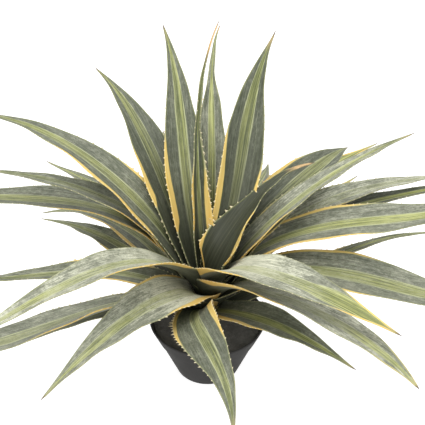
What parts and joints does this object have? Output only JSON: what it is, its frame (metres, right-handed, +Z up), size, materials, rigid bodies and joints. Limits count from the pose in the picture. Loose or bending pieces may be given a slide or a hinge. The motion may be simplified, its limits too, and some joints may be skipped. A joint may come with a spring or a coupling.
{
  "type": "potted variegated agave",
  "caption": "Rosette of long, tapering, toothed agave leaves with yellow margins, arching from a short stem in a low round tapered plastic pot.",
  "frame": {"origin": "centre of the pot's flat underside, on the surface that the pot stands on", "axes": "+Z up along the pot's axis, -Y towards the viewer's side, where the front leaves arch down over the rim"},
  "size_m": [0.7585, 0.6047, 0.4295],
  "materials": {
    "pot": "satin charcoal plastic",
    "soil": "dark potting soil",
    "stem": "pale leaf-base tissue",
    "leaf": "waxy grey-green with a striped yellow-green middle and yellow toothed margins"
  },
  "bodies": {
    "root": {"pot": "pot", "soil": "soil", "stem": "stem", "young_leaf_tall": "leaf", "young_leaf_right": "leaf", "leaf_upper_1": "leaf", "leaf_upper_2": "leaf", "leaf_upper_3": "leaf", "leaf_upper_4": "leaf", "leaf_upper_5": "leaf", "leaf_upper_6": "leaf", "leaf_middle_1": "leaf", "leaf_middle_2": "leaf", "leaf_middle_3": "leaf", "leaf_middle_4": "leaf", "leaf_middle_5": "leaf", "leaf_middle_6": "leaf", "leaf_middle_7": "leaf", "leaf_middle_8": "leaf", "leaf_middle_9": "leaf", "leaf_middle_10": "leaf", "leaf_middle_11": "leaf", "leaf_middle_12": "leaf", "leaf_lower_1": "leaf", "leaf_lower_2": "leaf", "leaf_lower_3": "leaf", "leaf_lower_4": "leaf", "leaf_lower_5": "leaf", "leaf_lower_6": "leaf", "leaf_lower_7": "leaf", "leaf_lower_8": "leaf", "leaf_lower_9": "leaf", "leaf_lower_10": "leaf", "leaf_lower_11": "leaf", "leaf_lower_12": "leaf", "leaf_back_1": "leaf", "leaf_back_2": "leaf", "leaf_back_3": "leaf"}
  },
  "joints": []
}
